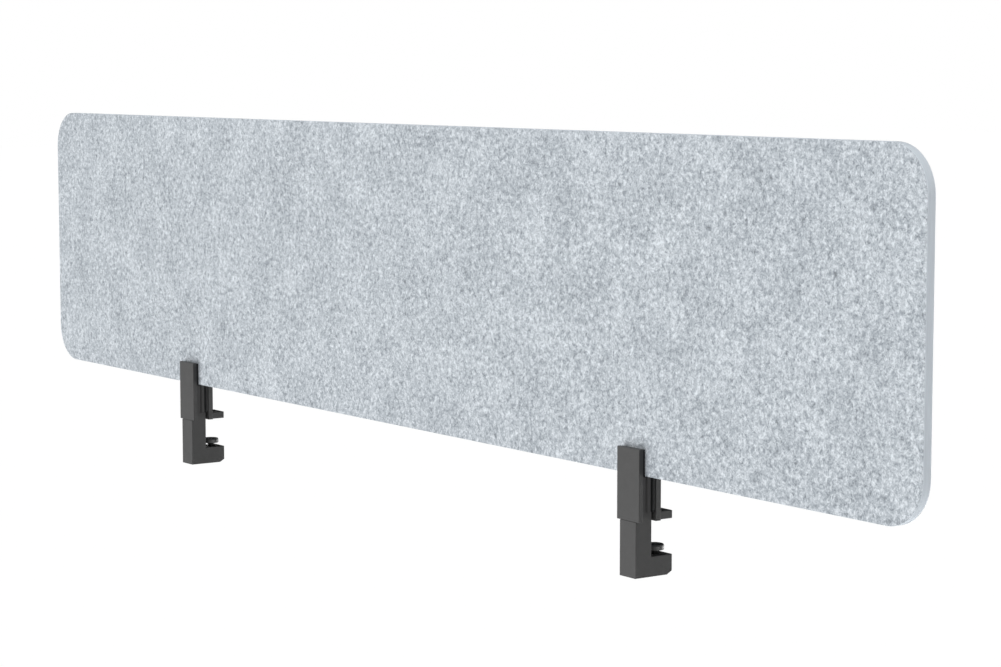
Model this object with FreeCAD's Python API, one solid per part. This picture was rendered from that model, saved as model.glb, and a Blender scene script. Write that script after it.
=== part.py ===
import FreeCAD, Part
import math
import os

# Desk privacy panel: a felt board that stands along the edge of a desk top, held by two equal
# clamps that can be placed anywhere along its lower edge.
#
# Frame, in mm: +X along the board, +Y from the desk's edge in over the desk top, +Z up. The origin
# is the desk's upper edge, under the middle of the board: y = 0 is the desk's edge face, where the
# hooks' posts bear on it, and z = 0 is the desk's upper surface, where the jaws' pads bear on it.

# Board
BOARD_LENGTH = 1524.0
BOARD_HEIGHT = 304.8
BOARD_THICKNESS = 9.0
BOARD_CORNER_RADIUS = 41.5
BOARD_EDGE_RADIUS = 0.8

# Where the clamps stand along the board
CLAMP_PLACES = {"right": 398.3, "left": -421.7}

# Bracket, front to back
PLATE_WIDTH = 32.0
FRONT_PLATE_THICKNESS = 4.6
FRONT_LINER_THICKNESS = 2.4
REAR_LINER_THICKNESS = 1.6
PRESSURE_PLATE_THICKNESS = 1.0
PRESSURE_PLATE_TRAVEL = 0.9
REAR_PLATE_THICKNESS = 5.75
JAW_LENGTH = 16.55
JAW_THICKNESS = 7.35
JAW_ROOT = 2.0
BLOCK_WIDTH = 26.0
BLOCK_THICKNESS = 4.5
BLOCK_CHAMFER = 1.1
RIB_WIDTH = 7.2
RIB_ROOT = 1.0

# Bracket, bottom to top
BOARD_BOTTOM = 41.8
PLATE_TOP = 66.4
BLOCK_BOTTOM = 8.8
METAL_ABOVE_DESK = 0.3
EDGE_RADIUS = 0.5

# Hook
HOOK_WIDTH = 23.2
HOOK_BOTTOM = -50.75
FOOT_TOP = -32.4
FOOT_CHAMFER_LENGTH = 5.5
FOOT_CHAMFER_HEIGHT = 3.2
TONGUE_TOP = 40.7
SLIDE_CLEARANCE = 0.1
SHOULDER_GAP = 0.2
HOOK_EDGE_RADIUS = 0.4

# Pads and linings
JAW_PAD_WIDTH = 18.8
JAW_PAD_LENGTH = 12.5
JAW_PAD_THICKNESS = 1.5
LINER_MARGIN = 0.5
SHEET_CORNER_RADIUS = 1.5
PRESSURE_PLATE_TOP = 65.4
SLOT_CLEARANCE = 0.2

# Screws
RUNNING_CLEARANCE = 0.05
GRIP_SCREW_RADIUS = 3.0
GRIP_SCREW_LENGTH = 6.0
GRIP_SCREW_HEIGHT = 54.3
GRIP_SOCKET = 3.0
LOCK_SCREW_RADIUS = 2.5
LOCK_SCREW_LENGTH = 11.6
LOCK_SCREW_HEIGHT = 16.0
LOCK_SCREW_SPACING = 16.0
LOCK_SOCKET = 2.5
LOCK_PELLET_LENGTH = 1.55
LOCK_PELLET_GAP = 0.05
LOCK_HOLE_IN_PLATE_RADIUS = 2.8
SCREW_SOCKET_DEPTH = 3.0
SCREW_CHAMFER = 0.5

# Spindle and swivel pad
SPINDLE_Y = 12.4
SPINDLE_RADIUS = 4.0
SPINDLE_BOTTOM = -50.0
SPINDLE_SOCKET = 4.0
SPINDLE_SOCKET_DEPTH = 5.0
SPINDLE_CHAMFER = 0.6
NECK_RADIUS = 2.5
GROOVE_RADIUS = 2.0
GROOVE_ABOVE_SHOULDER = 1.15
GROOVE_WIDTH = 0.6
NECK_LENGTH = 2.2
PAD_TOP = -23.5
DISC_BOTTOM = -28.6
DISC_THICKNESS = 3.8
DISC_RADIUS = 9.0
DISC_EDGE_RADIUS = 0.4
DISC_WEB_THICKNESS = 1.1
COUNTERBORE_RADIUS = 4.6
RING_RADIUS = 4.0
RING_THICKNESS = 0.5
RING_CLEARANCE = 0.05
RING_MOUTH = 2.6
PAD_FACE_RADIUS = 8.7
PAD_FACE_EDGE_RADIUS = 0.7

# How far a cutting shape passes beyond what it cuts
OVERCUT = 1.0

# Planes across the assembly, worked out from the thicknesses above, front to back
POST_BACK = 0.0
BLOCK_BACK = -2.0
BLOCK_FRONT = BLOCK_BACK - BLOCK_THICKNESS
BOARD_BACK = BLOCK_BACK
BOARD_FRONT = BOARD_BACK - BOARD_THICKNESS
FRONT_PLATE_BACK = BOARD_FRONT - FRONT_LINER_THICKNESS
FRONT_PLATE_FRONT = FRONT_PLATE_BACK - FRONT_PLATE_THICKNESS
REAR_LINER_BACK = BOARD_BACK + REAR_LINER_THICKNESS
PRESSURE_PLATE_BACK = REAR_LINER_BACK + PRESSURE_PLATE_THICKNESS
REAR_PLATE_FRONT = PRESSURE_PLATE_BACK + PRESSURE_PLATE_TRAVEL
REAR_PLATE_BACK = REAR_PLATE_FRONT + REAR_PLATE_THICKNESS
JAW_END = REAR_PLATE_BACK + JAW_LENGTH

X_AXIS = FreeCAD.Vector(1, 0, 0)
Y_AXIS = FreeCAD.Vector(0, 1, 0)
Z_AXIS = FreeCAD.Vector(0, 0, 1)


def block(width, y_low, y_high, z_low, z_high):
    """A box of the given width, centred on the middle plane."""
    corner = FreeCAD.Vector(-width / 2, y_low, z_low)
    return Part.makeBox(width, y_high - y_low, z_high - z_low, corner)


def eased_block(width, y_low, y_high, z_low, z_high):
    """A block with all its edges slightly rounded."""
    sharp = block(width, y_low, y_high, z_low, z_high)
    return sharp.makeFillet(EDGE_RADIUS, sharp.Edges)


def rod_y(radius, y_low, y_high, x, z):
    """A cylinder that runs front to back."""
    return Part.makeCylinder(radius, y_high - y_low, FreeCAD.Vector(x, y_low, z), Y_AXIS)


def rod_z(radius, z_low, z_high):
    """An upright cylinder on the spindle's axis."""
    foot = FreeCAD.Vector(0, SPINDLE_Y, z_low)
    return Part.makeCylinder(radius, z_high - z_low, foot, Z_AXIS)


def hex_prism(across_flats, start, direction, depth):
    """A hexagonal prism for a key socket, from start along direction."""
    side_way = X_AXIS
    other_way = direction.cross(side_way)
    reach = across_flats / math.sqrt(3)
    corners = []
    for turn in range(7):
        angle = math.radians(60 * turn)
        along = side_way * (reach * math.cos(angle))
        across = other_way * (reach * math.sin(angle))
        corners.append(start + along + across)
    face = Part.Face(Part.makePolygon(corners))
    return face.extrude(direction * depth)


def edges_on_plane(shape, axis, value):
    """The edges that lie wholly in the plane axis = value, where axis is 0, 1 or 2."""
    found = []
    for edge in shape.Edges:
        box = edge.BoundBox
        low = (box.XMin, box.YMin, box.ZMin)[axis]
        high = (box.XMax, box.YMax, box.ZMax)[axis]
        if abs(low - value) < 1e-4 and abs(high - value) < 1e-4:
            found.append(edge)
    return found


def edges_along(edges, direction):
    """Those of the given straight edges that run along the unit vector."""
    return [edge for edge in edges if abs(edge.tangentAt(0).dot(direction)) > 0.9]


def felt_panel():
    """The board: a rounded rectangle with slightly softened edges."""
    top = BOARD_BOTTOM + BOARD_HEIGHT
    board = block(BOARD_LENGTH, BOARD_FRONT, BOARD_BACK, BOARD_BOTTOM, top)
    board = board.makeFillet(BOARD_CORNER_RADIUS, edges_along(board.Edges, Y_AXIS))
    rims = edges_on_plane(board, 1, BOARD_FRONT) + edges_on_plane(board, 1, BOARD_BACK)
    return board.makeFillet(BOARD_EDGE_RADIUS, rims)


def bracket():
    """Front plate, rib, block, neck, rear plate and upper jaw, in one piece."""
    front_plate = eased_block(
        PLATE_WIDTH, FRONT_PLATE_FRONT, FRONT_PLATE_BACK, METAL_ABOVE_DESK, PLATE_TOP
    )
    rib = block(
        RIB_WIDTH, FRONT_PLATE_BACK - RIB_ROOT, BLOCK_FRONT, BLOCK_BOTTOM, BOARD_BOTTOM
    )
    middle_block = block(BLOCK_WIDTH, BLOCK_FRONT, BLOCK_BACK, BLOCK_BOTTOM, BOARD_BOTTOM)
    front_corners = edges_along(edges_on_plane(middle_block, 1, BLOCK_FRONT), Z_AXIS)
    middle_block = middle_block.makeChamfer(BLOCK_CHAMFER, front_corners)
    neck = block(RIB_WIDTH, BLOCK_BACK, REAR_PLATE_FRONT + RIB_ROOT, BLOCK_BOTTOM, BOARD_BOTTOM)
    rear_plate = eased_block(
        PLATE_WIDTH, REAR_PLATE_FRONT, REAR_PLATE_BACK, METAL_ABOVE_DESK, PLATE_TOP
    )
    jaw = eased_block(
        HOOK_WIDTH,
        REAR_PLATE_BACK - JAW_ROOT,
        JAW_END,
        METAL_ABOVE_DESK,
        METAL_ABOVE_DESK + JAW_THICKNESS,
    )
    shape = front_plate.fuse([rib, middle_block, neck, rear_plate, jaw]).removeSplitter()

    grip_hole = rod_y(
        GRIP_SCREW_RADIUS + RUNNING_CLEARANCE,
        REAR_PLATE_FRONT - OVERCUT,
        REAR_PLATE_BACK + OVERCUT,
        0,
        GRIP_SCREW_HEIGHT,
    )
    lock_holes = [
        rod_y(
            LOCK_SCREW_RADIUS + RUNNING_CLEARANCE,
            BLOCK_FRONT - OVERCUT,
            REAR_PLATE_BACK + OVERCUT,
            x,
            LOCK_SCREW_HEIGHT,
        )
        for x in lock_screw_places()
    ]
    pocket = jaw_pad_body(METAL_ABOVE_DESK - OVERCUT)
    return shape.cut([grip_hole, *lock_holes, pocket])


def lock_screw_places():
    """Where the two lock screws stand across the clamp."""
    return (-LOCK_SCREW_SPACING / 2, LOCK_SCREW_SPACING / 2)


def jaw_pad_body(bottom):
    """The jaw pad's outline, from the given height up to the pad's top."""
    middle = (REAR_PLATE_BACK + JAW_END) / 2
    return block(
        JAW_PAD_WIDTH,
        middle - JAW_PAD_LENGTH / 2,
        middle + JAW_PAD_LENGTH / 2,
        bottom,
        JAW_PAD_THICKNESS,
    )


def jaw_pad():
    """Rubber let into the jaw's underside, standing a little proud of the metal."""
    return jaw_pad_body(0.0)


def front_liner():
    """Rubber between the front plate and the board."""
    return block(
        PLATE_WIDTH - 2 * LINER_MARGIN,
        FRONT_PLATE_BACK,
        BOARD_FRONT,
        BOARD_BOTTOM,
        PLATE_TOP - LINER_MARGIN,
    )


def slotted_sheet(y_low, y_high):
    """A sheet behind the board, open below to pass the neck, with holes for the lock screws."""
    width = PLATE_WIDTH - 2 * LINER_MARGIN
    sheet = block(width, y_low, y_high, BLOCK_BOTTOM, PRESSURE_PLATE_TOP)
    sheet = sheet.makeFillet(SHEET_CORNER_RADIUS, edges_along(sheet.Edges, Y_AXIS))
    slot = block(
        RIB_WIDTH + 2 * SLOT_CLEARANCE,
        y_low - OVERCUT,
        y_high + OVERCUT,
        BLOCK_BOTTOM - OVERCUT,
        BOARD_BOTTOM + SLOT_CLEARANCE,
    )
    holes = [
        rod_y(LOCK_HOLE_IN_PLATE_RADIUS, y_low - OVERCUT, y_high + OVERCUT, x, LOCK_SCREW_HEIGHT)
        for x in lock_screw_places()
    ]
    return sheet.cut([slot, *holes])


def rear_liner():
    """Rubber on the pressure plate, against the back of the board and of the block."""
    return slotted_sheet(BOARD_BACK, REAR_LINER_BACK)


def pressure_plate():
    """Steel sheet that spreads the grip screw's push."""
    return slotted_sheet(REAR_LINER_BACK, PRESSURE_PLATE_BACK)


def set_screw(radius, length, socket, y_low, x, z):
    """A socket set screw that runs front to back, its key socket at the back."""
    body = rod_y(radius, y_low, y_low + length, x, z)
    ends = edges_on_plane(body, 1, y_low) + edges_on_plane(body, 1, y_low + length)
    body = body.makeChamfer(SCREW_CHAMFER, ends)
    mouth = FreeCAD.Vector(x, y_low + length, z)
    return body.cut(hex_prism(socket, mouth, Y_AXIS * -1, SCREW_SOCKET_DEPTH))


def grip_screw():
    """Pushes the pressure plate on the board from behind."""
    return set_screw(
        GRIP_SCREW_RADIUS, GRIP_SCREW_LENGTH, GRIP_SOCKET, PRESSURE_PLATE_BACK, 0, GRIP_SCREW_HEIGHT
    )


def lock_pellet(x):
    """Brass pellet between a lock screw and the hook's prong."""
    front = BLOCK_FRONT - SLIDE_CLEARANCE + LOCK_PELLET_GAP
    return rod_y(LOCK_SCREW_RADIUS, front, front + LOCK_PELLET_LENGTH, x, LOCK_SCREW_HEIGHT)


def lock_screw(x):
    """Pushes its pellet on the prong, so the hook stays at its height."""
    front = BLOCK_FRONT - SLIDE_CLEARANCE + LOCK_PELLET_GAP + LOCK_PELLET_LENGTH
    return set_screw(
        LOCK_SCREW_RADIUS, LOCK_SCREW_LENGTH, LOCK_SOCKET, front, x, LOCK_SCREW_HEIGHT
    )


def hook():
    """Forked tongue, post and foot, drawn in side view and given the hook's width."""
    tongue_front = FRONT_PLATE_BACK + SLIDE_CLEARANCE
    tongue_back = BLOCK_FRONT - SLIDE_CLEARANCE
    front_shoulder = METAL_ABOVE_DESK - SHOULDER_GAP
    rear_shoulder = BLOCK_BOTTOM - SHOULDER_GAP
    outline = [
        (FRONT_PLATE_FRONT, HOOK_BOTTOM),
        (JAW_END - FOOT_CHAMFER_LENGTH, HOOK_BOTTOM),
        (JAW_END, HOOK_BOTTOM + FOOT_CHAMFER_HEIGHT),
        (JAW_END, FOOT_TOP),
        (POST_BACK, FOOT_TOP),
        (POST_BACK, rear_shoulder),
        (tongue_back, rear_shoulder),
        (tongue_back, TONGUE_TOP),
        (tongue_front, TONGUE_TOP),
        (tongue_front, front_shoulder),
        (FRONT_PLATE_FRONT, front_shoulder),
    ]
    corners = [FreeCAD.Vector(-HOOK_WIDTH / 2, y, z) for y, z in outline]
    face = Part.Face(Part.makePolygon([*corners, corners[0]]))
    body = face.extrude(X_AXIS * HOOK_WIDTH)
    rims = edges_on_plane(body, 0, -HOOK_WIDTH / 2) + edges_on_plane(body, 0, HOOK_WIDTH / 2)
    body = body.makeFillet(HOOK_EDGE_RADIUS, rims)
    fork_gap = block(
        RIB_WIDTH + 2 * SLIDE_CLEARANCE,
        tongue_front - OVERCUT,
        tongue_back + OVERCUT,
        rear_shoulder,
        TONGUE_TOP + OVERCUT,
    )
    spindle_hole = rod_z(SPINDLE_RADIUS + RUNNING_CLEARANCE, HOOK_BOTTOM - OVERCUT, FOOT_TOP + OVERCUT)
    return body.cut([fork_gap, spindle_hole])


def spindle():
    """Jack screw: threaded body, a neck for the disc, a ring groove and a socket below."""
    body = rod_z(SPINDLE_RADIUS, SPINDLE_BOTTOM, DISC_BOTTOM)
    body = body.makeChamfer(SPINDLE_CHAMFER, edges_on_plane(body, 2, SPINDLE_BOTTOM))
    neck = rod_z(NECK_RADIUS, DISC_BOTTOM, DISC_BOTTOM + NECK_LENGTH)
    groove_low = DISC_BOTTOM + GROOVE_ABOVE_SHOULDER
    groove = rod_z(NECK_RADIUS + OVERCUT, groove_low, groove_low + GROOVE_WIDTH).cut(
        rod_z(GROOVE_RADIUS, groove_low, groove_low + GROOVE_WIDTH)
    )
    start = FreeCAD.Vector(0, SPINDLE_Y, SPINDLE_BOTTOM)
    socket = hex_prism(SPINDLE_SOCKET, start, Z_AXIS, SPINDLE_SOCKET_DEPTH)
    return body.fuse(neck).cut([groove, socket])


def pad_disc():
    """Swivel disc, bored for the neck and counterbored for the snap ring."""
    top = DISC_BOTTOM + DISC_THICKNESS
    disc = rod_z(DISC_RADIUS, DISC_BOTTOM, top)
    disc = disc.makeFillet(DISC_EDGE_RADIUS, edges_on_plane(disc, 2, DISC_BOTTOM))
    bore = rod_z(NECK_RADIUS + RUNNING_CLEARANCE, DISC_BOTTOM - OVERCUT, top + OVERCUT)
    counterbore = rod_z(COUNTERBORE_RADIUS, DISC_BOTTOM + DISC_WEB_THICKNESS, top + OVERCUT)
    return disc.cut([bore, counterbore])


def pad_ring():
    """Snap ring in the spindle's groove, with its mouth at the back."""
    bottom = DISC_BOTTOM + GROOVE_ABOVE_SHOULDER + RING_CLEARANCE
    top = bottom + RING_THICKNESS
    ring = rod_z(RING_RADIUS, bottom, top)
    hole = rod_z(GROOVE_RADIUS + RING_CLEARANCE, bottom - OVERCUT, top + OVERCUT)
    mouth = block(RING_MOUTH, SPINDLE_Y, SPINDLE_Y + RING_RADIUS + OVERCUT, bottom - OVERCUT, top + OVERCUT)
    return ring.cut([hole, mouth])


def pad_face():
    """Rubber facing that bears on the desk's underside."""
    face = rod_z(PAD_FACE_RADIUS, DISC_BOTTOM + DISC_THICKNESS, PAD_TOP)
    return face.makeFillet(PAD_FACE_EDGE_RADIUS, edges_on_plane(face, 2, PAD_TOP))


def clamp_pieces():
    """Every piece of one clamp, on the clamp's own middle plane."""
    pieces = {
        "bracket": bracket(),
        "front_liner": front_liner(),
        "rear_liner": rear_liner(),
        "pressure_plate": pressure_plate(),
        "grip_screw": grip_screw(),
        "jaw_pad": jaw_pad(),
        "hook": hook(),
        "spindle": spindle(),
        "pad_disc": pad_disc(),
        "pad_ring": pad_ring(),
        "pad_face": pad_face(),
    }
    for number, x in enumerate(lock_screw_places(), start=1):
        pieces[f"lock_pellet_{number}"] = lock_pellet(x)
        pieces[f"lock_screw_{number}"] = lock_screw(x)
    return pieces


def main():
    nodes = {"felt_panel": felt_panel()}
    for piece, shape in clamp_pieces().items():
        for side, place in CLAMP_PLACES.items():
            nodes[f"{side}_{piece}"] = shape.translated(FreeCAD.Vector(place, 0, 0))
    os.makedirs("parts", exist_ok=True)
    for name, shape in nodes.items():
        assert shape.isValid() and len(shape.Solids) == 1, name
        shape.exportStep(f"parts/{name}.step")


main()
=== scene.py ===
import math

import bpy
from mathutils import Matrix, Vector, noise


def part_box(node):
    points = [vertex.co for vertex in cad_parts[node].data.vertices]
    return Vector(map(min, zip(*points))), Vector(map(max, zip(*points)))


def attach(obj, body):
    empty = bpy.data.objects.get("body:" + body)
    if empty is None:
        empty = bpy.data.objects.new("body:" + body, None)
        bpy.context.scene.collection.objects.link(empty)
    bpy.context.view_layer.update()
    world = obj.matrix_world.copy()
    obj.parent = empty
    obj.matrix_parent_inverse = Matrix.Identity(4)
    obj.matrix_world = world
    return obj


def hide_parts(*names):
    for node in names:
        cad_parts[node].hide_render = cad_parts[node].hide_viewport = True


# Desk privacy panel: a mottled light grey felt board on two dark powder-coated desk clamps.
# Lengths are in metres unless a name says otherwise. The frame is the CAD's: +X along the board,
# +Y from the desk's edge in over the desk top, +Z up.

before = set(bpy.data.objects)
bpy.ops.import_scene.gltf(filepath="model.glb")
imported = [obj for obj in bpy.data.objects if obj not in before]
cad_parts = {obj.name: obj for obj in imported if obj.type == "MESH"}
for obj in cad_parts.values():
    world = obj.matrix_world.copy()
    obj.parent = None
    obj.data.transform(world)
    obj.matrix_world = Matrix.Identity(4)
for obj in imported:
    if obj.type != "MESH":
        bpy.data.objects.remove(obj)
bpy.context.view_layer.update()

MM = 0.001
SIDES = ("right", "left")

# Camera, its angles in degrees
CAMERA_PLACE = (2.2196, -1.4470, 0.4077)
CAMERA_AZIMUTH = 54.70
CAMERA_PITCH = 5.90
CAMERA_LENS_MM = 94.16
CAMERA_SENSOR_MM = 36.0

# Lights: strength, and bearing (0 from -Y, 90 from +X), rise and spread in degrees
LIGHTS = {
    "front_light": (2.18, -26.0, -30.0, 60.0),
    "top_light": (1.6, 0.0, 78.0, 5.0),
    "right_light": (1.03, 103.0, -2.0, 25.0),
    "back_light": (3.1, 180.0, -25.0, 45.0),
    "left_light": (1.03, 257.0, -2.0, 25.0),
}
AMBIENT_IN_FRONT = 0.60
AMBIENT_BEHIND = 0.03
FLOOR_DROP = 0.73
FLOOR_SIZE = 60.0

# Felt board
BOARD_CORNER_RADIUS = 41.5 * MM
BOARD_EDGE_RADIUS = 0.9 * MM
BOARD_COLUMN = 3.0 * MM
BOARD_ROW = 3.0 * MM
CORNER_STEPS = 20
EDGE_STEPS = 4
SIDE_STEPS = 4
FELT_RELIEF = 0.14 * MM
FELT_RELIEF_SCALE = 140.0
FINE_RELIEF_RATIO = 2.3
# The relief stretches the thickness by this, so that the two faces differ
FACES_APART = 9.0
FELT_TINT_DARK = (0.907, 1.0, 1.094)
FELT_TINT = (0.922, 1.0, 1.077)
FELT_TINT_PALE = (0.936, 1.0, 1.060)

# Spindle, pad and rubber strips
THREAD_PITCH = 1.25 * MM
THREAD_DEPTH = 0.62 * MM
THREAD_FADE = 0.8 * MM
# The thread is a triangle wave this steep, lowered by THREAD_ROOT and cut to 0 to 1, which
# leaves a flat at its root and at its crest
THREAD_STEEPNESS = 1.35
THREAD_ROOT = 0.1
THREAD_SEGMENTS = 48
THREAD_ROWS_PER_TURN = 8
NECK_RADIUS = 2.5 * MM
NECK_CHAMFER = 0.3 * MM
GROOVE_RADIUS = 2.0 * MM
GROOVE_ABOVE_SHOULDER = 1.15 * MM
GROOVE_WIDTH = 0.6 * MM
SOCKET_HALF_WIDTH = 2.0 * MM
SOCKET_DEPTH = 5.0 * MM
END_CAP_RADIUS = 0.05 * MM
STRIP_EDGE_MM = 0.12
PAD_EDGE_RADIUS = 0.7 * MM
PAD_EDGE_STEPS = 5
PAD_CHAMFER = 0.15 * MM
PAD_GROOVE_DEPTH = 0.35 * MM
PAD_GROOVE_HALF_TOP = 0.55 * MM
PAD_GROOVE_HALF_BOTTOM = 0.3 * MM
PAD_GROOVE_SHARES = (0.72, 0.42)
PAD_SEGMENTS = 64


# ---------------------------------------------------------------- node helpers


def new_material(name):
    """A new material and its shader."""
    material = bpy.data.materials.new(name)
    material.use_nodes = True
    shader = material.node_tree.nodes["Principled BSDF"]
    return material, shader


class Graph:
    """Short ways to add nodes to a material's tree."""

    def __init__(self, tree):
        self.tree = tree

    def node(self, kind, **settings):
        """A new node with the given properties."""
        made = self.tree.nodes.new(kind)
        for key, value in settings.items():
            setattr(made, key, value)
        return made

    def feed(self, socket, value):
        """Links value to the socket if it is a socket, or else sets it."""
        if isinstance(value, bpy.types.NodeSocket):
            self.tree.links.new(value, socket)
        else:
            socket.default_value = value

    def math(self, operation, first, second=0.0):
        """The result of one operation on two numbers or sockets."""
        made = self.node("ShaderNodeMath", operation=operation)
        self.feed(made.inputs[0], first)
        self.feed(made.inputs[1], second)
        return made.outputs[0]

    def object_point(self):
        """The point in the object's own coordinates, in millimetres."""
        place = self.node("ShaderNodeTexCoord").outputs["Object"]
        scale = self.node("ShaderNodeVectorMath", operation="SCALE")
        self.feed(scale.inputs[0], place)
        scale.inputs["Scale"].default_value = 1000.0
        return scale.outputs[0]

    def noise(self, point, size_mm, detail=2.0, roughness=0.5):
        """Noise whose blotches are about size_mm across, around 0.5."""
        made = self.node("ShaderNodeTexNoise")
        self.feed(made.inputs["Vector"], point)
        made.inputs["Scale"].default_value = 1.0 / size_mm
        made.inputs["Detail"].default_value = detail
        made.inputs["Roughness"].default_value = roughness
        return made

    def warped(self, point, size_mm, reach_mm):
        """The point pushed about by noise, by up to about reach_mm."""
        push = self.noise(point, size_mm, detail=1.0).outputs["Color"]
        centred = self.node("ShaderNodeVectorMath", operation="SUBTRACT")
        self.feed(centred.inputs[0], push)
        centred.inputs[1].default_value = (0.5, 0.5, 0.5)
        scaled = self.node("ShaderNodeVectorMath", operation="SCALE")
        self.feed(scaled.inputs[0], centred.outputs[0])
        scaled.inputs["Scale"].default_value = 2.0 * reach_mm
        moved = self.node("ShaderNodeVectorMath", operation="ADD")
        self.feed(moved.inputs[0], point)
        self.feed(moved.inputs[1], scaled.outputs[0])
        return moved.outputs[0]

    def streaks(self, point, angle_deg, long_mm, thin_mm):
        """Noise drawn out along one direction in the XZ plane, as fibres lie."""
        turned = self.node("ShaderNodeMapping", vector_type="TEXTURE")
        self.feed(turned.inputs["Vector"], point)
        turned.inputs["Rotation"].default_value = (0, math.radians(angle_deg), 0)
        turned.inputs["Scale"].default_value = (long_mm / thin_mm, 1.0, 1.0)
        return self.noise(turned.outputs[0], thin_mm, detail=1.0).outputs["Fac"]

    def hairs(self, point, size_mm, width_mm):
        """Thin curved lines, 1 along their middle and 0 off them: where noise passes its middle
        value, broken into lengths by more noise."""
        thinness = 1.25 * size_mm / width_mm
        elsewhere = (31.0, 17.0, 53.0)
        gate_level, gate_steepness = 0.47, 9.0
        course = self.noise(point, size_mm, detail=0.5).outputs["Fac"]
        away = self.math("ABSOLUTE", self.math("SUBTRACT", course, 0.5))
        line = self.math("SUBTRACT", 1.0, self.math("MULTIPLY", away, thinness))
        moved = self.node("ShaderNodeVectorMath", operation="ADD")
        self.feed(moved.inputs[0], point)
        moved.inputs[1].default_value = elsewhere
        gate = self.noise(moved.outputs[0], 0.8 * size_mm, detail=0.5).outputs["Fac"]
        opened = self.math("MULTIPLY", self.math("SUBTRACT", gate, gate_level), gate_steepness)
        kept = self.math("MINIMUM", self.math("MAXIMUM", opened, 0.0), 1.0)
        return self.math("MULTIPLY", self.math("MAXIMUM", line, 0.0), kept)

    def ramp(self, value, stops):
        """A colour ramp through (position, colour) stops."""
        made = self.node("ShaderNodeValToRGB")
        self.feed(made.inputs["Fac"], value)
        elements = made.color_ramp.elements
        while len(elements) < len(stops):
            elements.new(0.5)
        for element, (position, colour) in zip(elements, stops):
            element.position = position
            element.color = colour
        return made.outputs["Color"]

    def bump(self, height, distance_mm):
        """A normal tilted by the slope of a height that spans distance_mm."""
        made = self.node("ShaderNodeBump")
        made.inputs["Distance"].default_value = distance_mm * MM
        self.feed(made.inputs["Height"], height)
        return made.outputs["Normal"]


def grey(value, tint=(1.0, 1.0, 1.0)):
    """A linear grey with a tint, as an RGBA tuple."""
    return (value * tint[0], value * tint[1], value * tint[2], 1.0)


# ---------------------------------------------------------------- materials


def felt_pattern(graph):
    """The mottle of pressed felt, and its fibres alone, both as sockets."""
    point = graph.object_point()
    curled = graph.warped(point, 7.0, 2.6)
    fibres = 0.0
    for angle in (8.0, 53.0, 98.0, 143.0):
        layer = graph.streaks(curled, angle, 6.0, 1.3)
        fibres = graph.math("ADD", fibres, graph.math("SUBTRACT", layer, 0.5))
    clumps = graph.math("SUBTRACT", graph.noise(curled, 5.5, 3.0, 0.65).outputs["Fac"], 0.5)
    drifts = graph.math("SUBTRACT", graph.noise(point, 45.0, 2.0).outputs["Fac"], 0.5)
    pale_hairs = graph.hairs(graph.warped(point, 5.0, 1.5), 6.0, 1.1)
    dark_hairs = graph.hairs(graph.warped(point, 9.0, 3.0), 7.5, 1.2)
    total = 0.5
    for layer, share in (
        (fibres, 0.60),
        (clumps, 1.00),
        (drifts, 0.36),
        (pale_hairs, 0.13),
        (dark_hairs, -0.20),
    ):
        total = graph.math("ADD", total, graph.math("MULTIPLY", layer, share))
    return total, fibres


def felt_material():
    """Mottled blue-grey pressed felt."""
    material, shader = new_material("pressed_felt")
    graph = Graph(material.node_tree)
    pattern, fibres = felt_pattern(graph)
    colour = graph.ramp(
        pattern,
        [
            (0.0, grey(0.203, FELT_TINT_DARK)),
            (0.34, grey(0.360, FELT_TINT_DARK)),
            (0.52, grey(0.459, FELT_TINT)),
            (0.72, grey(0.590, FELT_TINT_PALE)),
            (1.0, grey(0.720, FELT_TINT_PALE)),
        ],
    )
    graph.feed(shader.inputs["Base Color"], colour)
    graph.feed(shader.inputs["Normal"], graph.bump(fibres, 0.12))
    shader.inputs["Roughness"].default_value = 0.95
    shader.inputs["Specular IOR Level"].default_value = 0.15
    shader.inputs["Sheen Weight"].default_value = 0.12
    shader.inputs["Sheen Roughness"].default_value = 0.6
    return material


def felt_edge_material():
    """The board's cut edge: the same stock, sheared smooth, with faint layers.
    Its grey is paler than the face felt: partly the cut stock's own paler tone, partly painted
    light that lifts the side faces to the front's brightness.
    """
    material, shader = new_material("cut_felt_edge")
    graph = Graph(material.node_tree)
    point = graph.object_point()
    layers = graph.node("ShaderNodeMapping", vector_type="TEXTURE")
    graph.feed(layers.inputs["Vector"], point)
    layers.inputs["Scale"].default_value = (14.0, 1.0, 14.0)
    fine = graph.noise(layers.outputs[0], 0.9, 2.0).outputs["Fac"]
    # Painted light: these greys sit well above the face felt's, partly the cut stock's own tone
    # and partly painted light so the dimmer-lit side faces look as bright as the front
    colour = graph.ramp(fine, [(0.25, grey(0.69, FELT_TINT)), (0.75, grey(0.75, FELT_TINT))])
    graph.feed(shader.inputs["Base Color"], colour)
    graph.feed(shader.inputs["Normal"], graph.bump(fine, 0.05))
    shader.inputs["Roughness"].default_value = 0.9
    shader.inputs["Specular IOR Level"].default_value = 0.2
    return material


def powder_coat_material():
    """Fine-textured anthracite powder coat."""
    material, shader = new_material("anthracite_powder_coat")
    graph = Graph(material.node_tree)
    point = graph.object_point()
    grain = graph.noise(point, 0.35, 2.0, 0.6).outputs["Fac"]
    cloud = graph.noise(point, 9.0, 3.0).outputs["Fac"]
    fine_part = graph.math("MULTIPLY", grain, 0.35)
    broad_part = graph.math("MULTIPLY", cloud, 0.65)
    mixed = graph.math("ADD", fine_part, broad_part)
    colour = graph.ramp(mixed, [(0.3, grey(0.039)), (0.7, grey(0.048))])
    rough = graph.math("ADD", 0.48, graph.math("MULTIPLY", grain, 0.2))
    graph.feed(shader.inputs["Base Color"], colour)
    graph.feed(shader.inputs["Roughness"], rough)
    graph.feed(shader.inputs["Normal"], graph.bump(grain, 0.03))
    shader.inputs["Specular IOR Level"].default_value = 0.45
    return material


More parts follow.
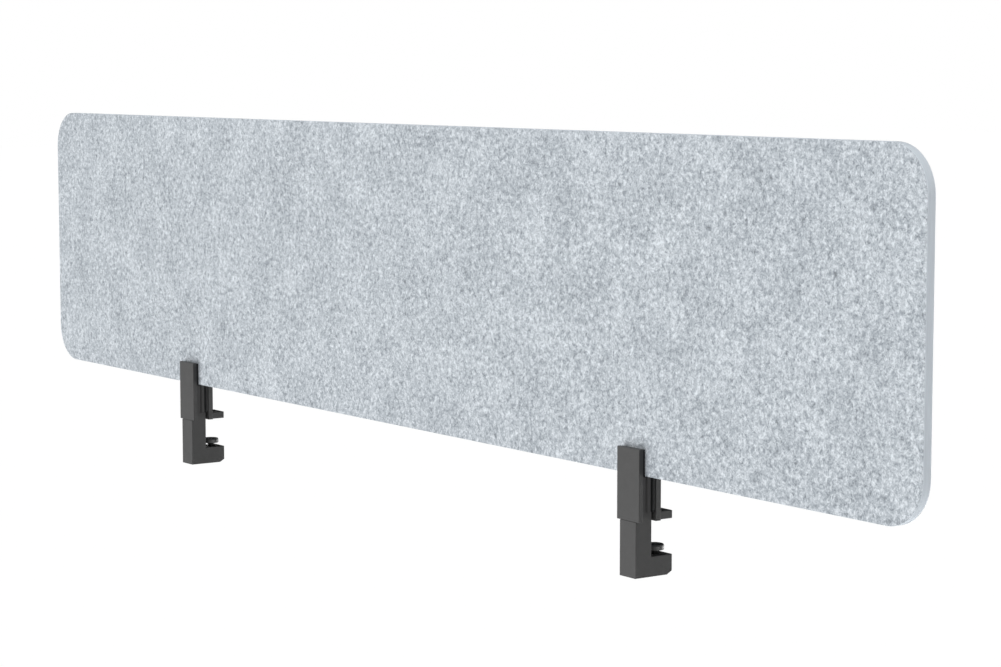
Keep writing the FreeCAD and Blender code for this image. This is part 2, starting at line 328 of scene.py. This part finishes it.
def rubber_material(name, shade):
    """Rubber with a faint cool cast and a dusty bloom."""
    material, shader = new_material(name)
    graph = Graph(material.node_tree)
    point = graph.object_point()
    bloom = graph.noise(point, 4.0, 4.0, 0.6).outputs["Fac"]
    grain = graph.noise(point, 0.25, 1.0).outputs["Fac"]
    tint = (0.95, 1.0, 1.06)
    colour = graph.ramp(bloom, [(0.3, grey(0.75 * shade, tint)), (0.75, grey(1.25 * shade, tint))])
    graph.feed(shader.inputs["Base Color"], colour)
    graph.feed(shader.inputs["Normal"], graph.bump(grain, 0.02))
    shader.inputs["Roughness"].default_value = 0.75
    shader.inputs["Specular IOR Level"].default_value = 0.3
    return material


def black_steel_material():
    """Blackened steel of the screws, with an oily unevenness."""
    material, shader = new_material("blackened_steel")
    graph = Graph(material.node_tree)
    point = graph.object_point()
    stain = graph.noise(point, 2.0, 4.0, 0.6).outputs["Fac"]
    fine = graph.noise(point, 0.2, 2.0).outputs["Fac"]
    colour = graph.ramp(stain, [(0.3, grey(0.018)), (0.7, grey(0.042))])
    rough = graph.math("ADD", 0.3, graph.math("MULTIPLY", stain, 0.25))
    graph.feed(shader.inputs["Base Color"], colour)
    graph.feed(shader.inputs["Roughness"], rough)
    graph.feed(shader.inputs["Normal"], graph.bump(fine, 0.01))
    shader.inputs["Metallic"].default_value = 0.7
    return material


def painted_steel_material():
    """Dark painted steel of the swivel disc."""
    material, shader = new_material("dark_painted_steel")
    graph = Graph(material.node_tree)
    point = graph.object_point()
    peel = graph.noise(point, 0.6, 2.0).outputs["Fac"]
    colour = graph.ramp(peel, [(0.3, grey(0.040)), (0.7, grey(0.052))])
    graph.feed(shader.inputs["Base Color"], colour)
    graph.feed(shader.inputs["Normal"], graph.bump(peel, 0.02))
    shader.inputs["Roughness"].default_value = 0.45
    return material


def brass_material():
    """Brass of the lock pellets, turned and slightly dulled."""
    material, shader = new_material("dull_brass")
    graph = Graph(material.node_tree)
    point = graph.object_point()
    dull = graph.noise(point, 1.2, 3.0).outputs["Fac"]
    colour = graph.ramp(dull, [(0.3, (0.45, 0.30, 0.10, 1.0)), (0.7, (0.62, 0.44, 0.17, 1.0))])
    rough = graph.math("ADD", 0.25, graph.math("MULTIPLY", dull, 0.3))
    graph.feed(shader.inputs["Base Color"], colour)
    graph.feed(shader.inputs["Roughness"], rough)
    shader.inputs["Metallic"].default_value = 1.0
    return material


# ---------------------------------------------------------------- mesh helpers


def new_piece(name, points, faces, materials, body, smooth=True):
    """A mesh piece that rides on a body."""
    mesh = bpy.data.meshes.new(name)
    mesh.from_pydata(points, [], faces)
    mesh.update()
    for material in materials:
        mesh.materials.append(material)
    mesh.polygons.foreach_set("use_smooth", [smooth] * len(mesh.polygons))
    piece = bpy.data.objects.new(name, mesh)
    bpy.context.collection.objects.link(piece)
    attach(piece, body)
    return piece


def bridge(first, second):
    """Quads between two closed loops of point numbers of the same length."""
    count = len(first)
    return [
        (first[i], first[(i + 1) % count], second[(i + 1) % count], second[i])
        for i in range(count)
    ]


def lathe(profile, segments, centre):
    """Points and faces of a closed turned shape about an upright axis, from (radius, z) pairs
    that start and end on the axis."""
    points = [(centre[0], centre[1], profile[0][1])]
    rings = []
    for radius, z in profile[1:-1]:
        ring = []
        for step in range(segments):
            angle = 2 * math.pi * step / segments
            x = centre[0] + radius * math.cos(angle)
            y = centre[1] + radius * math.sin(angle)
            ring.append(len(points))
            points.append((x, y, z))
        rings.append(ring)
    points.append((centre[0], centre[1], profile[-1][1]))
    last = len(points) - 1
    faces = []
    for i in range(segments):
        j = (i + 1) % segments
        faces.append((0, rings[0][j], rings[0][i]))
        faces.append((last, rings[-1][i], rings[-1][j]))
    for lower, upper in zip(rings, rings[1:]):
        faces.extend(bridge(lower, upper))
    return points, faces


def soften_edges(piece, width_mm):
    """Rounds a piece's sharp edges with a modifier."""
    bevel = piece.modifiers.new("soft_edges", "BEVEL")
    bevel.width = width_mm * MM
    bevel.segments = 2
    bevel.limit_method = "ANGLE"
    bevel.angle_limit = math.radians(40)


# ---------------------------------------------------------------- felt board


def board_columns(half_length, radius):
    """(x, how far the outline draws in there) for each column of the board, left to right."""
    corner = []
    for step in range(CORNER_STEPS):
        angle = math.pi / 2 * step / CORNER_STEPS
        x = half_length - radius + radius * math.cos(angle)
        corner.append((x, radius * (1 - math.sin(angle))))
    straight = 2 * (half_length - radius)
    count = round(straight / BOARD_COLUMN)
    middle = [(-straight / 2 + straight * i / count, 0.0) for i in range(count + 1)]
    left = [(-x, inset) for x, inset in corner]
    return left + middle + corner[::-1]


def felt_board():
    """The board as a fine grid with softened rims and a shallow felt relief."""
    low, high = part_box("felt_panel")
    centre_x = (low.x + high.x) / 2
    rows = round((high.z - low.z) / BOARD_ROW)
    points, faces, on_cut_edge = [], [], []

    def grid(inset, y, only_border=False):
        """One layer of the board's points, drawn in by inset: their numbers, column by column,
        with None for those that an outline alone leaves out."""
        columns = board_columns((high.x - low.x) / 2 - inset, BOARD_CORNER_RADIUS - inset)
        layer = []
        for number, (x, drawn) in enumerate(columns):
            bottom, top = low.z + inset + drawn, high.z - inset - drawn
            edge_column = number in (0, len(columns) - 1)
            column = []
            for row in range(rows + 1):
                if only_border and not edge_column and row not in (0, rows):
                    column.append(None)
                    continue
                column.append(len(points))
                points.append((centre_x + x, y, bottom + (top - bottom) * row / rows))
            layer.append(column)
        return layer

    def border(layer):
        """The point numbers round a layer's outline."""
        loop = [column[0] for column in layer]
        loop += layer[-1][1:]
        loop += [column[-1] for column in layer[-2::-1]]
        loop += layer[0][-2:0:-1]
        return loop

    front = grid(BOARD_EDGE_RADIUS, low.y)
    back = grid(BOARD_EDGE_RADIUS, high.y)
    face_points = len(points)
    for layer, outward in ((front, True), (back, False)):
        for this, after in zip(layer, layer[1:]):
            for row in range(rows):
                quad = (this[row], after[row], after[row + 1], this[row + 1])
                faces.append(quad if outward else quad[::-1])
                on_cut_edge.append(0)

    profile = []
    for step in range(1, EDGE_STEPS + 1):
        angle = math.pi / 2 * step / EDGE_STEPS
        inset = BOARD_EDGE_RADIUS * (1 - math.sin(angle))
        profile.append((inset, low.y + BOARD_EDGE_RADIUS * (1 - math.cos(angle))))
    flat = (high.y - low.y) - 2 * BOARD_EDGE_RADIUS
    for step in range(1, SIDE_STEPS):
        profile.append((0.0, low.y + BOARD_EDGE_RADIUS + flat * step / SIDE_STEPS))
    profile += [(inset, low.y + high.y - y) for inset, y in profile[EDGE_STEPS - 1 :: -1]]
    loops = [border(front)]
    loops += [border(grid(inset, y, only_border=True)) for inset, y in profile]
    loops.append(border(back))
    for number, (first, second) in enumerate(zip(loops, loops[1:])):
        # The flat side strip gets the paler cut-edge felt, which is partly painted light; the
        # rounded rims keep the face felt
        past_rim = EDGE_STEPS / 2 <= number < len(loops) - 1 - EDGE_STEPS / 2
        for quad in bridge(first, second):
            faces.append(quad[::-1])
            on_cut_edge.append(int(past_rim))

    for number in range(face_points):
        x, y, z = points[number]
        place = Vector((x, y * FACES_APART, z)) * FELT_RELIEF_SCALE
        rise = noise.noise(place) + 0.5 * noise.noise(place * FINE_RELIEF_RATIO)
        inward = FELT_RELIEF * (0.5 + 0.5 * rise)
        y += inward if y < (low.y + high.y) / 2 else -inward
        points[number] = (x, y, z)

    materials = [felt_material(), felt_edge_material()]
    piece = new_piece("felt_board", points, faces, materials, "panel")
    piece.data.polygons.foreach_set("material_index", on_cut_edge)
    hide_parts("felt_panel")


# ---------------------------------------------------------------- clamp pieces


def spindle_thread(side, material):
    """The jack screw with its rolled thread, neck, ring groove and key socket."""
    low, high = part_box(f"{side}_spindle")
    disc_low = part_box(f"{side}_pad_disc")[0]
    centre_x, centre_y = (low.x + high.x) / 2, (low.y + high.y) / 2
    radius = (high.x - low.x) / 2
    shoulder = disc_low.z
    points, loops = [], []

    def ring(radius_at, z):
        """Adds a loop of points at height z, at the radius given for each angle."""
        loop = []
        for step in range(THREAD_SEGMENTS):
            angle = 2 * math.pi * step / THREAD_SEGMENTS
            reach = radius_at(angle)
            x = centre_x + reach * math.cos(angle)
            y = centre_y + reach * math.sin(angle)
            loop.append(len(points))
            points.append((x, y, z))
        loops.append(loop)

    def hexagon(angle):
        """The radius round the key socket."""
        within = (angle + math.pi / 6) % (math.pi / 3) - math.pi / 6
        return SOCKET_HALF_WIDTH / math.cos(within)

    def thread_at(z):
        """The radius round the thread at height z, fading out at both ends."""
        fade = min(1.0, (z - low.z) / THREAD_FADE, (shoulder - z) / THREAD_FADE)

        def radius_at(angle):
            phase = ((z - low.z) / THREAD_PITCH - angle / (2 * math.pi)) % 1.0
            wave = THREAD_STEEPNESS * (1 - abs(2 * phase - 1)) - THREAD_ROOT
            ridge = min(1.0, max(0.0, wave))
            return radius - THREAD_DEPTH * (1 - ridge * fade)

        return radius_at

    ring(lambda angle: END_CAP_RADIUS, low.z + SOCKET_DEPTH)
    ring(hexagon, low.z + SOCKET_DEPTH)
    ring(hexagon, low.z)
    rows = round((shoulder - low.z) / THREAD_PITCH * THREAD_ROWS_PER_TURN)
    for row in range(rows + 1):
        z = low.z + (shoulder - low.z) * row / rows
        ring(thread_at(z), z)
    groove_low = shoulder + GROOVE_ABOVE_SHOULDER
    groove_high = groove_low + GROOVE_WIDTH
    for reach, z in (
        (NECK_RADIUS, shoulder),
        (NECK_RADIUS, groove_low),
        (GROOVE_RADIUS, groove_low),
        (GROOVE_RADIUS, groove_high),
        (NECK_RADIUS, groove_high),
        (NECK_RADIUS, high.z - NECK_CHAMFER),
        (NECK_RADIUS - NECK_CHAMFER, high.z),
        (END_CAP_RADIUS, high.z),
    ):
        ring(lambda angle, reach=reach: reach, z)
    faces = [tuple(loops[0][::-1])]
    for lower, upper in zip(loops, loops[1:]):
        faces.extend(bridge(lower, upper))
    faces.append(tuple(loops[-1]))
    piece = new_piece(
        f"{side}_threaded_spindle", points, faces, [material], f"{side}_spindle"
    )
    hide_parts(f"{side}_spindle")


def ringed_pad_face(side, material):
    """The swivel pad's rubber facing with two moulded rings."""
    low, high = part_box(f"{side}_pad_face")
    centre = ((low.x + high.x) / 2, (low.y + high.y) / 2)
    radius = (high.x - low.x) / 2
    top, bottom = high.z, low.z
    profile = [(0.0, bottom), (radius - PAD_CHAMFER, bottom), (radius, bottom + PAD_CHAMFER)]
    for step in range(PAD_EDGE_STEPS + 1):
        angle = math.pi / 2 * step / PAD_EDGE_STEPS
        reach = radius - PAD_EDGE_RADIUS + PAD_EDGE_RADIUS * math.cos(angle)
        profile.append((reach, top - PAD_EDGE_RADIUS + PAD_EDGE_RADIUS * math.sin(angle)))
    for share in PAD_GROOVE_SHARES:
        middle = radius * share
        profile += [
            (middle + PAD_GROOVE_HALF_TOP, top),
            (middle + PAD_GROOVE_HALF_BOTTOM, top - PAD_GROOVE_DEPTH),
            (middle - PAD_GROOVE_HALF_BOTTOM, top - PAD_GROOVE_DEPTH),
            (middle - PAD_GROOVE_HALF_TOP, top),
        ]
    profile.append((0.0, top))
    points, faces = lathe(profile, PAD_SEGMENTS, centre)
    piece = new_piece(
        f"{side}_ringed_pad_face", points, faces, [material], f"{side}_pad"
    )
    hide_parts(f"{side}_pad_face")


def ribbed_strip(name, low, high, ribbed_face, pitch, depth, material, body):
    """A rubber block with shallow grooves along X in one of its faces, "+Y" or "-Z"."""
    if ribbed_face == "+Y":
        start, end, flat, ribbed = low.z, high.z, low.y, high.y
    else:
        start, end, flat, ribbed = low.y, high.y, high.z, low.z
    inward = depth if flat > ribbed else -depth
    half_top, half_bottom = 0.28 * pitch, 0.16 * pitch
    outline = [(start, flat), (start, ribbed)]
    count = int((end - start) / pitch) - 1
    first = (start + end) / 2 - pitch * (count - 1) / 2
    for number in range(count):
        middle = first + pitch * number
        outline += [
            (middle - half_top, ribbed),
            (middle - half_bottom, ribbed + inward),
            (middle + half_bottom, ribbed + inward),
            (middle + half_top, ribbed),
        ]
    outline += [(end, ribbed), (end, flat)]
    points = []
    for x in (low.x, high.x):
        for along, across in outline:
            points.append((x, across, along) if ribbed_face == "+Y" else (x, along, across))
    size = len(outline)
    near, far = list(range(size)), list(range(size, 2 * size))
    faces = bridge(near, far) + [tuple(near[::-1]), tuple(far)]
    if ribbed_face == "-Z":
        faces = [face[::-1] for face in faces]
    piece = new_piece(name, points, faces, [material], body, smooth=False)
    soften_edges(piece, STRIP_EDGE_MM)
    return piece


def clamp(side, materials):
    """One clamp's pieces: the CAD nodes with their finishes, and what is modelled anew."""
    finishes = {
        "bracket": "powder_coat",
        "hook": "powder_coat",
        "rear_liner": "rubber",
        "pressure_plate": "black_steel",
        "grip_screw": "black_steel",
        "lock_screw_1": "black_steel",
        "lock_screw_2": "black_steel",
        "pad_ring": "black_steel",
        "pad_disc": "painted_steel",
        "lock_pellet_1": "brass",
        "lock_pellet_2": "brass",
    }
    for piece, finish in finishes.items():
        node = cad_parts[f"{side}_{piece}"]
        node.data.materials.clear()
        node.data.materials.append(materials[finish])
    spindle_thread(side, materials["black_steel"])
    ringed_pad_face(side, materials["pad_rubber"])
    for node, ribbed_face, pitch, depth in (
        ("front_liner", "+Y", 1.6 * MM, 0.35 * MM),
        ("jaw_pad", "-Z", 1.4 * MM, 0.3 * MM),
    ):
        low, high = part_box(f"{side}_{node}")
        strip = ribbed_strip(
            f"{side}_ribbed_{node}",
            low,
            high,
            ribbed_face,
            pitch,
            depth,
            materials["rubber"],
            f"{side}_clamp",
        )
        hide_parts(f"{side}_{node}")


# ---------------------------------------------------------------- stage


def pale_floor():
    """A plain pale floor, well below the desk's height."""
    half = FLOOR_SIZE / 2
    z = -FLOOR_DROP
    mesh = bpy.data.meshes.new("floor")
    corners = [(-half, -half, z), (half, -half, z), (half, half, z), (-half, half, z)]
    mesh.from_pydata(corners, [], [(0, 1, 2, 3)])
    material, shader = new_material("pale_floor")
    shader.inputs["Base Color"].default_value = (0.03, 0.03, 0.03, 1.0)
    shader.inputs["Roughness"].default_value = 0.9
    shader.inputs["Specular IOR Level"].default_value = 0.0
    shader.inputs["Emission Color"].default_value = (1.0, 1.0, 1.0, 1.0)
    shader.inputs["Emission Strength"].default_value = 0.98
    mesh.materials.append(material)
    floor = bpy.data.objects.new("floor", mesh)
    bpy.context.collection.objects.link(floor)
    floor.visible_diffuse = False
    floor.visible_glossy = False
    floor.visible_shadow = False


def studio_world():
    """White to the camera; for lighting, bright all over the front and dim behind."""
    world = bpy.data.worlds.new("studio")
    world.use_nodes = True
    tree = world.node_tree
    tree.nodes.clear()
    graph = Graph(tree)
    direction = graph.node("ShaderNodeTexCoord").outputs["Generated"]
    parts = graph.node("ShaderNodeSeparateXYZ")
    graph.feed(parts.inputs[0], direction)
    frontness = graph.math("SUBTRACT", 0.5, graph.math("MULTIPLY", parts.outputs["Y"], 0.5))
    glow = graph.ramp(frontness, [(0.48, grey(AMBIENT_BEHIND)), (0.62, grey(AMBIENT_IN_FRONT))])
    lighting = graph.node("ShaderNodeBackground")
    graph.feed(lighting.inputs["Color"], glow)
    backdrop = graph.node("ShaderNodeBackground")
    backdrop.inputs["Color"].default_value = (1.0, 1.0, 1.0, 1.0)
    mix = graph.node("ShaderNodeMixShader")
    seen = graph.node("ShaderNodeLightPath").outputs["Is Camera Ray"]
    graph.feed(mix.inputs["Fac"], seen)
    graph.feed(mix.inputs[1], lighting.outputs[0])
    graph.feed(mix.inputs[2], backdrop.outputs[0])
    output = graph.node("ShaderNodeOutputWorld")
    graph.feed(output.inputs["Surface"], mix.outputs[0])
    bpy.context.scene.world = world


def broad_light(name, strength, bearing_deg, rise_deg, spread_deg):
    """A soft distant light."""
    lamp = bpy.data.lights.new(name, "SUN")
    lamp.energy = strength
    lamp.angle = math.radians(spread_deg)
    light = bpy.data.objects.new(name, lamp)
    bearing, rise = math.radians(bearing_deg), math.radians(rise_deg)
    source = Vector(
        (
            math.sin(bearing) * math.cos(rise),
            -math.cos(bearing) * math.cos(rise),
            math.sin(rise),
        )
    )
    light.rotation_mode = "QUATERNION"
    light.rotation_quaternion = source.to_track_quat("Z", "Y")
    bpy.context.collection.objects.link(light)


def camera():
    """The camera in front of the board's right end, a little above its top edge."""
    lens = bpy.data.cameras.new("camera")
    lens.lens = CAMERA_LENS_MM
    lens.sensor_width = CAMERA_SENSOR_MM
    lens.clip_start = 0.05
    lens.clip_end = 200.0
    holder = bpy.data.objects.new("camera", lens)
    bpy.context.collection.objects.link(holder)
    holder.location = CAMERA_PLACE
    holder.rotation_euler = (
        math.radians(90 - CAMERA_PITCH),
        0.0,
        math.radians(CAMERA_AZIMUTH),
    )
    bpy.context.scene.camera = holder


# ---------------------------------------------------------------- assembly

camera()
pale_floor()
studio_world()
for name, settings in LIGHTS.items():
    broad_light(name, *settings)
bpy.context.scene.view_settings.view_transform = "Standard"

felt_board()
clamp_materials = {
    "powder_coat": powder_coat_material(),
    "rubber": rubber_material("black_rubber", 0.015),
    "pad_rubber": rubber_material("dusty_pad_rubber", 0.040),
    "black_steel": black_steel_material(),
    "painted_steel": painted_steel_material(),
    "brass": brass_material(),
}
for side in SIDES:
    clamp(side, clamp_materials)
